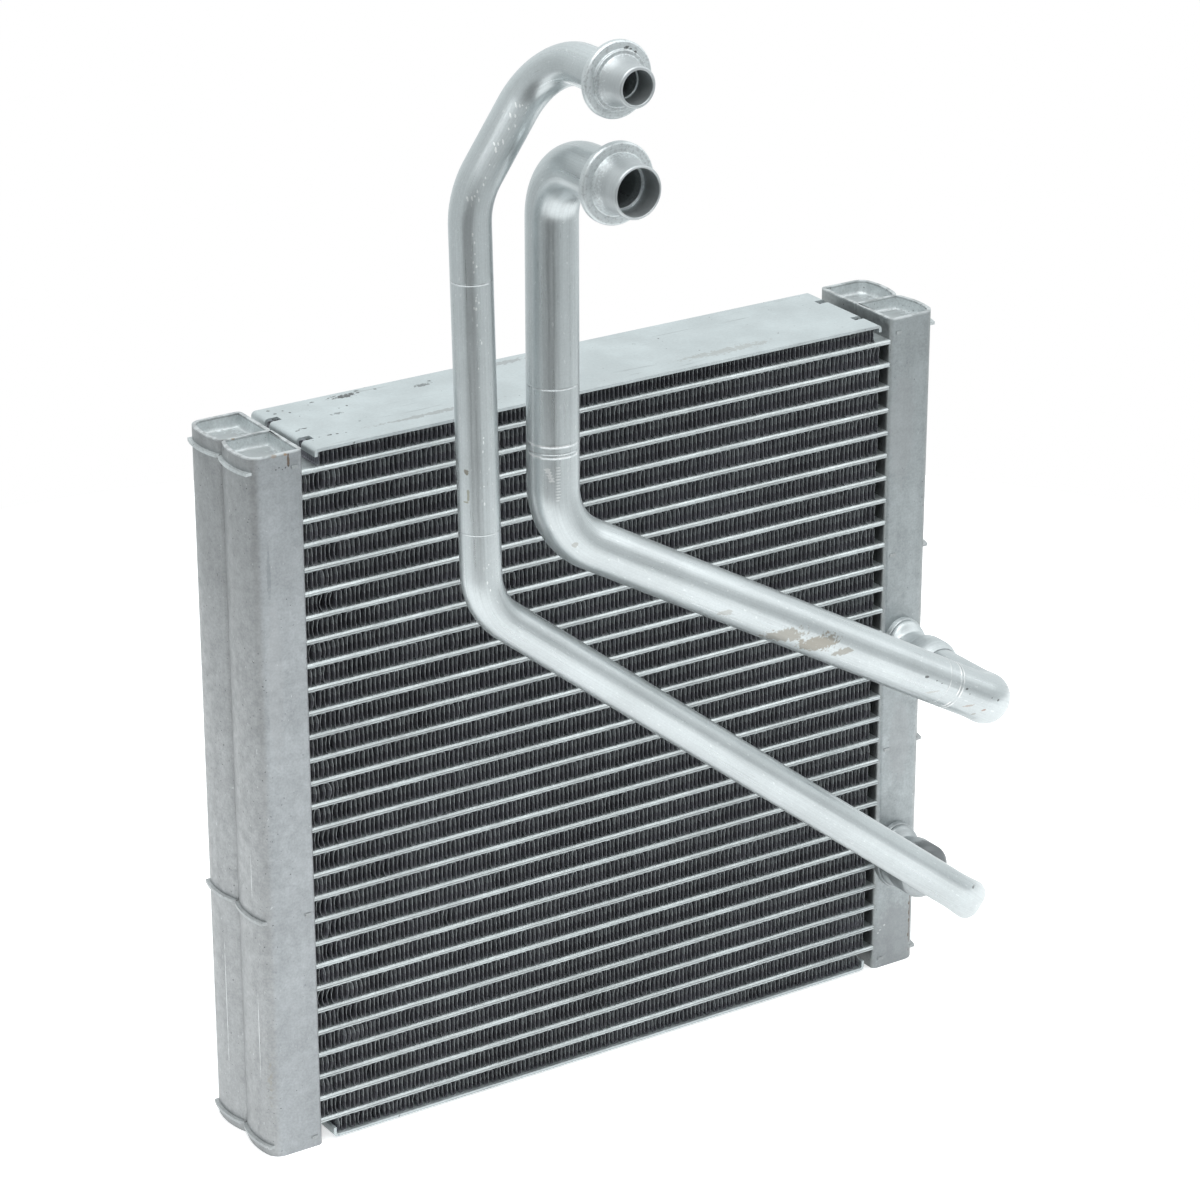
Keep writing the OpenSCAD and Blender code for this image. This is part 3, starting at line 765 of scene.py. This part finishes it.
def sweep(points, bends, radius):
    """Rings of a round pipe along the points, out of round where it bends, and their distances."""
    last = len(points) - 1
    tangents = [(points[min(i + 1, last)] - points[max(i - 1, 0)]).normalized()
                for i in range(last + 1)]
    normal = Vector((1, 0, 0)) if abs(tangents[0].x) < 0.9 else Vector((0, 0, 1))
    verts, lengths, along = [], [], 0.0
    for i, (p, t) in enumerate(zip(points, tangents)):
        if i:
            along += (p - points[i - 1]).length
        lengths.append(along)
        normal = (normal - t * normal.dot(t)).normalized()
        other = t.cross(normal)
        turn = tangents[min(i + 1, last)] - tangents[max(i - 1, 0)]
        plane = turn.normalized() if turn.length > LEAST_TURN else None
        flat, wide = bends[i]
        for k in range(PIPE_SIDES):
            a = 2 * math.pi * k / PIPE_SIDES
            d = normal * math.cos(a) + other * math.sin(a)
            squeeze = 1.0
            if plane is not None:
                outward = -d.dot(plane)
                flattened = flat * (1.0 if outward > 0 else INNER_FLATTENED)
                squeeze = 1 - flattened * outward ** 2 + wide * (1 - outward ** 2)
            verts.append(tuple(p + d * radius * squeeze))
    return verts, lengths


def pipe(node, corners, radii, heel, outer_r, material):
    """A hollow bent pipe with a UV map: u runs along it in metres, v once round it."""
    sides = PIPE_SIDES
    points, bends = fillet_path(corners, radii, heel)
    verts, lengths = sweep(points, bends, outer_r)
    inner, _ = sweep(points, bends, outer_r - PIPE_WALL)
    base = len(verts)
    verts += inner
    faces, uvs = [], []
    last = len(points) - 1
    for i in range(last):
        for k in range(sides):
            n = (k + 1) % sides
            outer = (i * sides + k, i * sides + n, (i + 1) * sides + n, (i + 1) * sides + k)
            faces.append(outer)
            faces.append(tuple(base + v for v in reversed(outer)))
            quad = uv_quad(lengths[i], lengths[i + 1], k / sides, (k + 1) / sides)
            uvs += quad + quad[::-1]
    # The wall's two ends, between the outer and the inner ring
    for i, flip in ((0, False), (last, True)):
        for k in range(sides):
            n = (k + 1) % sides
            ring = (i * sides + k, base + i * sides + k, base + i * sides + n, i * sides + n)
            faces.append(tuple(reversed(ring)) if flip else ring)
            uvs += [(lengths[i], k / sides)] * 4
    add_piece(node + "_drawn", verts, faces, material, [node], uvs)


# Turned and lofted pieces along -Y, with their profiles in millimetres

LATHE_SIDES = 96
LATHE_EDGE = 0.2 * MM
BOSS_SIDES = 72
BARREL_LENGTH = 10.5
SOCKET_DEPTH = 9.5
SOCKET_CLEARANCE = 0.1


def lathe(node, x, z, y_zero, profile, material):
    """Turns a closed profile of (radius, distance ahead) about an axis along -Y."""
    profile = [mm(*point) for point in profile]
    count = len(profile)
    verts, faces, uvs = [], [], []
    reach = [0.0]
    for p, q in zip(profile, profile[1:] + profile[:1]):
        reach.append(reach[-1] + math.dist(p, q))
    for s in range(LATHE_SIDES):
        a = 2 * math.pi * s / LATHE_SIDES
        for r, ahead in profile:
            verts.append((x + r * math.cos(a), y_zero - ahead, z + r * math.sin(a)))
    for s in range(LATHE_SIDES):
        n = (s + 1) % LATHE_SIDES
        for k in range(count):
            m = (k + 1) % count
            faces.append((s * count + k, s * count + m, n * count + m, n * count + k))
            uvs += uv_quad(s / LATHE_SIDES, (s + 1) / LATHE_SIDES, reach[k], reach[k + 1])
    piece = add_piece(node + "_turned", verts, faces, material, [node],
                      uvs, sharp=50)
    fix_normals(piece)
    bevel(piece, LATHE_EDGE, 2, 35)


def boss(node, z, pipe_r, taper, material):
    """An oval foot of two steps, a round neck and a thicker barrel that holds the pipe."""
    length = (FRONT - low(node).y) / MM
    neck = length - BARREL_LENGTH
    mouth = pipe_r / MM + SOCKET_CLEARANCE
    # Distance ahead of the header, half width and half height
    foot = [(-2.5, 8.6, 12.2), (1.6, 8.6, 12.2), (1.9, 8.4, 12.0), (1.95, 8.0, 11.4),
            (2.2, 8.0, 11.3), (2.25, 8.5, 11.5), (3.0, 8.45, 11.3), (3.7, 8.35, 10.5),
            (4.4, 8.4, 9.2), (5.2, 8.5, 8.5)]
    # Distance ahead of the header and radius
    barrel = [(neck - 1.2, 8.5), (neck - 0.6, 8.7), (neck + 0.4, 9.5), (neck + 1.4, 9.7),
              (length - taper, 9.7), (length - 0.7 * taper, 9.5), (length - 0.36 * taper, 8.9),
              (length - 0.14 * taper, 8.45), (length, 8.2), (length, mouth),
              (length - SOCKET_DEPTH, mouth)]
    rings = foot + [(ahead, r, r) for ahead, r in barrel]
    verts, uvs = [], []
    for ahead, half_w, half_h in rings:
        for s in range(BOSS_SIDES):
            a = 2 * math.pi * s / BOSS_SIDES
            verts.append((PORT_X + half_w * MM * math.cos(a), FRONT - ahead * MM,
                          z + half_h * MM * math.sin(a)))
    for i in range(len(rings) - 1):
        for s in range(BOSS_SIDES):
            quad = uv_quad(i * MM, (i + 1) * MM, s / BOSS_SIDES, (s + 1) / BOSS_SIDES)
            uvs += [(turn, along) for along, turn in quad]
    faces = ring_quads(len(rings), BOSS_SIDES)
    piece = add_piece(node + "_turned", verts, faces, material, [node],
                      uvs, sharp=35)
    fix_normals(piece)


# Places of the pipes and fittings, from the frame and the sizes of their bends

SUCTION_R = 7.94 * MM
LIQUID_R = 6.35 * MM
PIPE_WALL = 1.3 * MM
suction_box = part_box("suction_pipe")
liquid_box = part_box("liquid_pipe")
FITTING_X = middle("suction_fitting", "x")
SUCTION_END_Z = middle("suction_fitting", "z")
LIQUID_END_Z = middle("liquid_fitting", "z")
SUCTION_PORT_Z = middle("suction_boss", "z")
LIQUID_PORT_Z = middle("liquid_boss", "z")
SUCTION_TIP = 10.2 * MM
LIQUID_TIP = 9.7 * MM
FITTING_FRONT = low("suction_fitting").y + SUCTION_TIP
SUCTION_RUN_Y = -75 * MM
LIQUID_RUN_Y = -73.6 * MM
SUCTION_CORNER_Z = 219.6 * MM
LIQUID_CORNER_X = -80.6 * MM
LIQUID_CORNER_Z = 199.9 * MM
LIQUID_LEAN = 2.7 * MM
LIQUID_JOG = 38.9 * MM

suction_route = [
    (PORT_X, suction_box[1].y, SUCTION_PORT_Z),
    (PORT_X, SUCTION_RUN_Y, SUCTION_PORT_Z),
    (FITTING_X, SUCTION_RUN_Y, SUCTION_CORNER_Z),
    (FITTING_X, SUCTION_RUN_Y, SUCTION_END_Z),
    (FITTING_X, suction_box[0].y, SUCTION_END_Z),
]
liquid_route = [
    (PORT_X, liquid_box[1].y, LIQUID_PORT_Z),
    (PORT_X, LIQUID_RUN_Y, LIQUID_PORT_Z),
    (LIQUID_CORNER_X, LIQUID_RUN_Y, LIQUID_CORNER_Z),
    (LIQUID_CORNER_X - LIQUID_LEAN, LIQUID_RUN_Y, LIQUID_END_Z - LIQUID_JOG),
    (FITTING_X, LIQUID_RUN_Y, LIQUID_END_Z),
    (FITTING_X, liquid_box[0].y, LIQUID_END_Z),
]
SUCTION_BENDS = mm(14, 24.5, 19)
SUCTION_HEEL = -0.02
LIQUID_BENDS = mm(20, 22, 24, 18.4)
LIQUID_HEEL = 0.3

# Raised seam rings on the pipes, with painted highlights in the pale tones and painted shade in the
# dark ones: distance along the pipe, half width, tone and strength
SUCTION_SEAMS_LIT_AND_SHADED = [
    (0.0643, 0.35 * MM, 0.95, 0.85), (0.0657, 0.4 * MM, 0.95, 0.9), (0.065, 0.3 * MM, 0.3, 0.6),
    (0.0704, 0.25 * MM, 0.85, 0.6), (0.2622, 0.5 * MM, 0.95, 0.85), (0.2632, 0.3 * MM, 0.35, 0.6),
    (0.2656, 0.5 * MM, 0.95, 0.85), (0.2835, 0.3 * MM, 0.4, 0.45),
]
LIQUID_SEAMS_LIT_AND_SHADED = [(0.3143, 0.2 * MM, 0.8, 0.25), (0.3921, 0.35 * MM, 0.35, 0.5)]


# A mark is its centre in metres, its half sizes, its tint and its strength

def build_headers():
    """Both headers, with the marks that the photograph shows."""
    # Brown stains and specks at the top corner, then grey streaks and dirty edges
    left_marks = [
        ((-0.1156, FRONT, 0.2365), mm(0.5, 1, 2.6), DARK_BROWN, 0.8),
        *[((-0.1155 - 0.0011 * k, FRONT, 0.2347 - 0.0004 * (k % 3)), mm(0.28, 1, 0.28),
           (0.1, 0.1, 0.1), 0.8) for k in range(5)],
        ((-0.1204, FRONT, 0.2386), mm(1.2, 1, 0.5), RUST, 0.35),
        ((-0.1165, FRONT, 0.2385), mm(0.7, 1, 0.5), RUST, 0.7),
        ((-0.1239, -0.0007, 0.239), mm(0.8, 0.8, 0.6), (0.4, 0.26, 0.13), 0.6),
        ((-0.1235, FRONT, 0.2), mm(0.8, 2, 9), (0.24, 0.26, 0.27), 0.5),
        ((-0.1225, FRONT, 0.165), mm(3.2, 2, 30), (0.4, 0.41, 0.42), 0.35),
        ((-0.1305, FRONT + 0.5 * MM, 0.027), mm(3.2, 3, 17), (0.31, 0.3, 0.265), 0.6),
        ((-0.1315, FRONT + 3 * MM, 0.205), mm(1.6, 3.4, 24), (0.36, 0.34, 0.3), 0.5),
    ]
    # Dirt and specks at the bottom, then two faint grey stretches
    right_marks = [
        ((0.119, FRONT, 0.008), mm(11, 2, 17), (0.29, 0.3, 0.31), 0.5),
        ((0.126, FRONT + 0.6 * MM, 0.018), mm(0.55, 1.3, 18), (0.16, 0.13, 0.11), 0.6),
        *[((x, FRONT, z), mm(0.35, 1.2, 0.9), (0.13, 0.09, 0.06), 0.8)
          for x, z in ((0.1255, 0.0208), (0.1256, 0.0172), (0.1257, 0.014), (0.1255, 0.0082))],
        *[((x, FRONT, z), mm(0.4, 1, 0.3), (0.75, 0.77, 0.77), 0.6)
          for x, z in ((0.1131, 0.0137), (0.1122, 0.0127), (0.1148, 0.0151))],
        ((0.119, FRONT, 0.085), mm(5, 2, 18), (0.36, 0.37, 0.38), 0.4),
        ((0.116, FRONT, 0.2), mm(6, 2, 22), (0.38, 0.39, 0.4), 0.35),
    ]
    left_scratches = [
        ((-0.1293, -0.0141, 0.042), mm(0.8, 0.13, 17)),
        ((-0.1295, -0.0129, 0.098), mm(0.8, 0.11, 9)),
        ((-0.1295, 0.0072, 0.044), mm(0.8, 0.15, 26)),
    ]
    header(-1, header_look("left_header_metal", LEFT_HEADER, left_marks, left_scratches))
    header(1, header_look("right_header_metal", RIGHT_HEADER, right_marks))


SIDE_PLATE_EDGE = 0.25 * MM
END_PLATE_EDGE = 0.3 * MM
BAFFLE_EDGE = 0.4 * MM


def build_side_plates():
    """Both side plates, with marks on top of the upper one."""
    top = high("top_side_plate").z
    # Small specks, most of them near the left end: place and half length in millimetres
    specks = ((-101.8, 17.5, 0.5), (-101.3, 13.9, 0.6), (-98, 15.2, 0.4), (-97, 12.6, 0.35),
              (-100.6, -2.2, 1.6), (-103.2, -3, 1), (-96.5, -11.4, 0.9), (-93.8, -11.7, 0.5),
              (-99.9, -11.2, 0.7), (-91, -12.2, 0.4), (-86.5, 17, 0.9), (-70, 18.6, 0.8),
              (-64, 16.8, 0.5), (-46, 14.2, 0.6), (-79, 8.5, 0.35))
    plate_marks = [
        ((-0.0755, 0.0165, top), mm(5, 1.6, 1), BLACK_SPECK, 0.85),
        ((-0.05, 0.012, top), mm(3.5, 1.2, 1), BLACK_SPECK, 0.6),
        ((-0.085, 0.004, top), mm(2, 0.8, 1), BLACK_SPECK, 0.5),
        ((-0.06, -0.012, top), mm(22, 1.2, 1), (0.3, 0.3, 0.29), 0.5),
        ((0.05, -0.013, top), mm(18, 2.5, 1), (0.36, 0.35, 0.32), 0.4),
        ((-0.017, 0.016, top), mm(9, 1.5, 1), (0.3, 0.3, 0.3), 0.5),
    ]
    for x, y, reach in specks:
        plate_marks.append(((x * MM, y * MM, top), mm(reach, 0.45, 1), BLACK_SPECK, 0.8))
    plate = plate_look("side_plate_metal", SIDE_PLATE, plate_marks)
    for node in ("top_side_plate", "bottom_side_plate"):
        dress(node, plate, SIDE_PLATE_EDGE)


def build_end_plates():
    """End plates, baffles and the filler round the recesses at the headers' ends."""
    # Painted light: the baffle metal is lighter than the header's, and lighter still on every face
    # but the flat front and rear ones
    ridge = header_look("baffle_metal", BAFFLE, [], metallic=0.25, bow=(1.12, 1.12, 1.12))
    # Painted light: the cup metal is half again lighter on every face but the flat front and rear
    # ones, and the recesses' floors are greyer than their walls
    floor_z = high("left_top_end_plate").z
    floors = [((x, 0, floor_z), mm(8.5, 26, 0.5), RECESS_FLOOR, 0.8)
              for x in (-CORE_HALF - HEADER_W / 2, CORE_HALF + HEADER_W / 2)]
    cup = header_look("end_plate_metal", END_PLATE, floors, metallic=0.55, bow=(1.5, 1.5, 1.5))
    for side, name in ((-1, "left"), (1, "right")):
        top_plate, bottom_plate = name + "_top_end_plate", name + "_bottom_end_plate"
        dress(top_plate, cup, END_PLATE_EDGE)
        dress(bottom_plate, ridge, END_PLATE_EDGE)
        for node in nodes:
            if node.startswith(name) and node.endswith("baffle"):
                dress(node, ridge, BAFFLE_EDGE)
        fillets(name + "_end_fillets", side, high(top_plate).z, low(bottom_plate).z, cup)


def build_core():
    """The flat tubes and fin rows, with small irregularities from one seed."""
    rng = random.Random(7)
    tube = tube_look("tube_metal")
    for node in TUBES:
        flat_tube(node, tube, rng)
    fins = fin_look("fin_metal")
    for index, node in enumerate(FIN_GROUPS):
        fin_group(node, 3 * index + 1, fins, rng)


def build_pipes():
    """Both pipes, with their rings, stains and scratches."""
    # Dry stains down the slanting length and at the lower bend, then black specks
    suction_marks = [
        ((0.024, -0.0815, 0.1685), mm(9, 4, 3), TAN, 0.75),
        ((0.037, -0.0822, 0.163), mm(9, 4, 3.4), (0.3, 0.27, 0.22), 0.8),
        ((0.047, -0.0826, 0.158), mm(4, 4, 1.6), TAN, 0.7),
        ((0.002, -0.082, 0.1815), mm(2.5, 3, 1.2), TAN, 0.4),
        ((-0.0531, -0.0822, 0.2163), mm(1.4, 3, 1.2), TAN, 0.45),
        ((0.0988, -0.0821, 0.1264), mm(2.4, 3, 0.5), (0.36, 0.27, 0.22), 0.6),
        ((0.1053, -0.0824, 0.1234), mm(1.2, 3, 0.5), (0.33, 0.18, 0.13), 0.75),
        ((0.1021, -0.0808, 0.1222), mm(0.8, 3, 0.5), (0.3, 0.27, 0.24), 0.6),
        ((0.0841, -0.0822, 0.1349), mm(3, 3, 0.5), (0.42, 0.4, 0.36), 0.4),
        *[(centre, mm(size, 3, 0.5 * size), SOOT, 0.75)
          for centre, size in (((0.0809, -0.0829, 0.1413), 1.0), ((0.085, -0.0829, 0.1389), 0.6),
                               ((0.0872, -0.0829, 0.1375), 0.4), ((0.0976, -0.0828, 0.1329), 0.7),
                               ((0.0988, -0.0829, 0.1309), 0.4), ((0.1112, -0.0822, 0.1255), 0.8),
                               ((0.1083, -0.0826, 0.1271), 0.4))],
    ]
    liquid_marks = [
        ((0.1074, -0.0782, 0.0565), mm(1, 2, 0.4), (0.12, 0.12, 0.12), 0.7),
        ((-0.0872, -0.0764, 0.2449), mm(0.45, 2, 1.2), (0.2, 0.17, 0.12), 0.75),
        ((-0.0868, -0.0763, 0.2375), mm(0.25, 2, 2.4), STRAW, 0.6),
        ((-0.0872, -0.0763, 0.2352), mm(0.7, 2, 0.25), STRAW, 0.6),
    ]
    # A ladder of short scratches with a brushed spot beside it, below the upper ring
    scratched = [((-0.0591, -0.0824, 0.2422 - 0.00095 * k), mm(0.85, 2, 0.2))
                 for k in range(12)]
    scratched += [((-0.0618 + 0.0003 * k, -0.081, 0.2416 - 0.0009 * k), mm(0.9, 2, 0.5))
                  for k in range(5)]
    # Flecks scattered down the front of the liquid pipe, in two stretches
    wear = random.Random(11)
    flecks = []
    for start, end, count, stray, longest in (
            ((-0.0675, 0.356), (-0.0855, 0.328), 22, 0.9, 1.1),
            ((-0.0857, 0.32), (-0.0817, 0.205), 30, 0.4, 0.7)):
        for _ in range(count):
            t = wear.random()
            x, z = (a + (b - a) * t for a, b in zip(start, end))
            flecks.append(((x + wear.gauss(0, stray) * MM, -0.0789, z),
                           mm(0.27, 2, wear.uniform(0.25, longest))))
    suction_metal = pipe_look("suction_pipe_metal", SUCTION_PIPE, SUCTION_SEAMS_LIT_AND_SHADED, suction_marks,
                              scratched)
    liquid_metal = pipe_look("liquid_pipe_metal", LIQUID_PIPE, LIQUID_SEAMS_LIT_AND_SHADED, liquid_marks, flecks)
    pipe("suction_pipe", suction_route, SUCTION_BENDS, SUCTION_HEEL, SUCTION_R, suction_metal)
    pipe("liquid_pipe", liquid_route, LIQUID_BENDS, LIQUID_HEEL, LIQUID_R, liquid_metal)


def build_bosses():
    """Both bosses. The liquid one is darker, and its barrel's end under the pipe is painted shadow.
    """
    # Painted shadow on the barrel's end, which lies under the pipe
    barrel_shadow = ((PORT_X + 2 * MM, low("liquid_boss").y, LIQUID_PORT_Z + 5 * MM),
                  mm(12, 8.5, 9.5), BARREL_END_SHADOW, 0.9)
    pale_metal = turned_look("boss_metal", SUCTION_BOSS, [], 0.9)
    darker_metal_with_shadow = turned_look("darker_boss_metal_with_shadow", LIQUID_BOSS, [barrel_shadow], 0.25)
    boss("suction_boss", SUCTION_PORT_Z, SUCTION_R, 4.4, pale_metal)
    boss("liquid_boss", LIQUID_PORT_Z, LIQUID_R, 1.8, darker_metal_with_shadow)


def build_fittings():
    """Both fittings: a collar, a flange, a tapered nose and a stepped bore."""
    marks = [
        ((-0.0537, FITTING_FRONT, 0.3752), mm(1.1, 1.5, 0.5), BLACK_SPECK, 0.8),
        ((-0.0523, FITTING_FRONT, 0.3746), mm(0.5, 1.5, 0.35), BLACK_SPECK, 0.8),
        ((-0.0508, FITTING_FRONT, 0.3734), mm(0.6, 1.5, 0.5), BLACK_SPECK, 0.8),
        # The noses are duller than the flanges
        ((FITTING_X, FITTING_FRONT - 8 * MM, LIQUID_END_Z), mm(100, 8.4, 100), FITTING_NOSE, 0.5),
    ]
    fitting = turned_look("fitting_metal", FITTING, marks, 0.9)
    r = SUCTION_R / MM
    tip = SUCTION_TIP / MM
    profile = [(r, -4), (r + 1, -4), (r + 1, -2.5), (11.7, -2.5), (12.2, -2), (12.2, -0.5),
               (11.7, 0), (r + 1.3, 0), (r + 0.25, 2.6), (r, 3.6), (r, tip - 0.4), (r - 0.4, tip),
               (r - 0.85, tip), (r - 0.85, 2.2), (r - 1.6, 2.2), (r - 1.6, -1.2), (r, -1.2)]
    lathe("suction_fitting", FITTING_X, SUCTION_END_Z, FITTING_FRONT, profile, fitting)
    r = LIQUID_R / MM
    tip = LIQUID_TIP / MM
    profile = [(r, -4), (r + 1, -4), (r + 1, -2.5), (10.8, -2.5), (11.3, -2), (11.3, -0.5),
               (10.8, 0), (r + 2.4, 0), (r + 2.4, 1), (r + 1.2, 1), (r + 0.3, 3), (r - 0.25, 5.4),
               (r - 0.25, tip - 0.4), (r - 0.65, tip), (r - 1.35, tip), (r - 1.35, 2.2),
               (r - 1.75, 2.2), (r - 1.75, -1.2), (r, -1.2)]
    lathe("liquid_fitting", FITTING_X, LIQUID_END_Z, FITTING_FRONT, profile, fitting)


# Stage, light and camera

FLOOR_R = 0.55
FLOOR_SIDES = 96
FLOOR_COLOUR = (0.9, 0.9, 0.9, 1)
FLOOR_SHOWN = 0.55
FLOOR_MIRRORED = 0.42


def build_stage():
    """A round white table, which rays that miss it pass by into the studio's light."""
    turns = [2 * math.pi * k / FLOOR_SIDES for k in range(FLOOR_SIDES)]
    verts = [(FLOOR_R * math.cos(a), FLOOR_R * math.sin(a), HEADER_LOW.z) for a in turns]
    mesh = bpy.data.meshes.new("floor")
    mesh.from_pydata(verts, [], [tuple(range(FLOOR_SIDES))])
    floor = bpy.data.objects.new("floor", mesh)
    scene.collection.objects.link(floor)
    material = bpy.data.materials.new("floor_white")
    graph = Graph(material)
    diffuse = graph.node("ShaderNodeBsdfDiffuse")
    graph.fill(diffuse, Color=FLOOR_COLOUR)
    path = graph.node("ShaderNodeLightPath")
    shown = graph.product(path.outputs["Is Camera Ray"], FLOOR_SHOWN)
    mirrored = graph.product(path.outputs["Is Glossy Ray"], FLOOR_MIRRORED)
    glow = graph.node("ShaderNodeEmission")
    graph.fill(glow, Strength=graph.math("ADD", shown, mirrored))
    both = graph.node("ShaderNodeAddShader")
    output = graph.node("ShaderNodeOutputMaterial")
    graph.link(diffuse.outputs[0], both.inputs[0])
    graph.link(glow.outputs[0], both.inputs[1])
    graph.fill(output, Surface=both.outputs[0])
    mesh.materials.append(material)


# Light of the studio: sky, a dim side where the camera stands, and more light behind the object
SKY = 0.62
DIM = 0.14
BACKDROP = 0.3
DIM_WAY = Vector((-0.62, -0.70, -0.34)).normalized()
SKY_COLOUR = (0.94, 0.99, 1.0, 1)
WHITE = (1, 1, 1, 1)
# Where the light starts and stops changing, as cosines of the angle from the dim way
DIM_FROM, DIM_TO = 0.76, 0.95
BRIGHT_FROM, BRIGHT_TO = 0.0, -0.85
LAMP_SIZE = 1.0
LAMP_AIM = Vector((0, 0, 0.1))
LAMPS = (("key", (-0.25, -0.35, 1.25), 9.0), ("fill", (1.0, -0.5, 0.9), 3.0))


def build_world():
    """The studio's light, which the camera itself sees as plain white."""
    world = bpy.data.worlds.new("studio")
    scene.world = world
    graph = Graph(world)
    way = graph.node("ShaderNodeTexCoord")
    toward = graph.node("ShaderNodeVectorMath")
    toward.operation = "DOT_PRODUCT"
    graph.feed(toward.inputs[0], way.outputs["Generated"])
    graph.feed(toward.inputs[1], DIM_WAY)
    fade = graph.span(toward.outputs["Value"], DIM_FROM, DIM_TO, SKY, DIM)
    behind = graph.span(toward.outputs["Value"], BRIGHT_FROM, BRIGHT_TO, 0.0, BACKDROP)
    soft = graph.node("ShaderNodeBackground")
    graph.fill(soft, Color=SKY_COLOUR, Strength=graph.math("ADD", fade, behind))
    white = graph.node("ShaderNodeBackground")
    graph.fill(white, Color=WHITE)
    path = graph.node("ShaderNodeLightPath")
    mix = graph.node("ShaderNodeMixShader")
    output = graph.node("ShaderNodeOutputWorld")
    graph.fill(mix, Fac=path.outputs["Is Camera Ray"])
    graph.link(soft.outputs[0], mix.inputs[1])
    graph.link(white.outputs[0], mix.inputs[2])
    graph.fill(output, Surface=mix.outputs[0])


def add_facing(name, data, place, target):
    """Adds a lamp or camera at place that looks at the target."""
    thing = bpy.data.objects.new(name, data)
    thing.location = place
    thing.rotation_mode = "QUATERNION"
    thing.rotation_quaternion = (target - place).to_track_quat("-Z", "Y")
    scene.collection.objects.link(thing)
    return thing


def build_lamps():
    for name, place, energy in LAMPS:
        data = bpy.data.lights.new(name, "AREA")
        data.shape = "SQUARE"
        data.size = LAMP_SIZE
        data.energy = energy
        add_facing(name, data, Vector(place), LAMP_AIM)


# The photograph's focal length and width in pixels, and a full-frame sensor's width in millimetres
FOCAL_PX = 4113.0
PHOTO_WIDTH_PX = 1200.0
SENSOR_WIDTH = 36.0
CAMERA_PLACE = Vector((-0.668193, -1.040987, 0.675191))
CAMERA_TARGET = Vector((0.0092936, 0.0, 0.1553902))


def build_camera():
    """The photograph's view: a long lens from the front left and above."""
    data = bpy.data.cameras.new("camera")
    data.sensor_fit = "HORIZONTAL"
    data.sensor_width = SENSOR_WIDTH
    data.lens = SENSOR_WIDTH * FOCAL_PX / PHOTO_WIDTH_PX
    data.clip_start, data.clip_end = 0.05, 30.0
    scene.camera = add_facing("camera", data, CAMERA_PLACE, CAMERA_TARGET)


build_headers()
build_side_plates()
build_end_plates()
build_core()
build_pipes()
build_bosses()
build_fittings()
build_stage()
build_world()
build_lamps()
build_camera()
scene.view_settings.view_transform = "Standard"

bpy.context.view_layer.update()
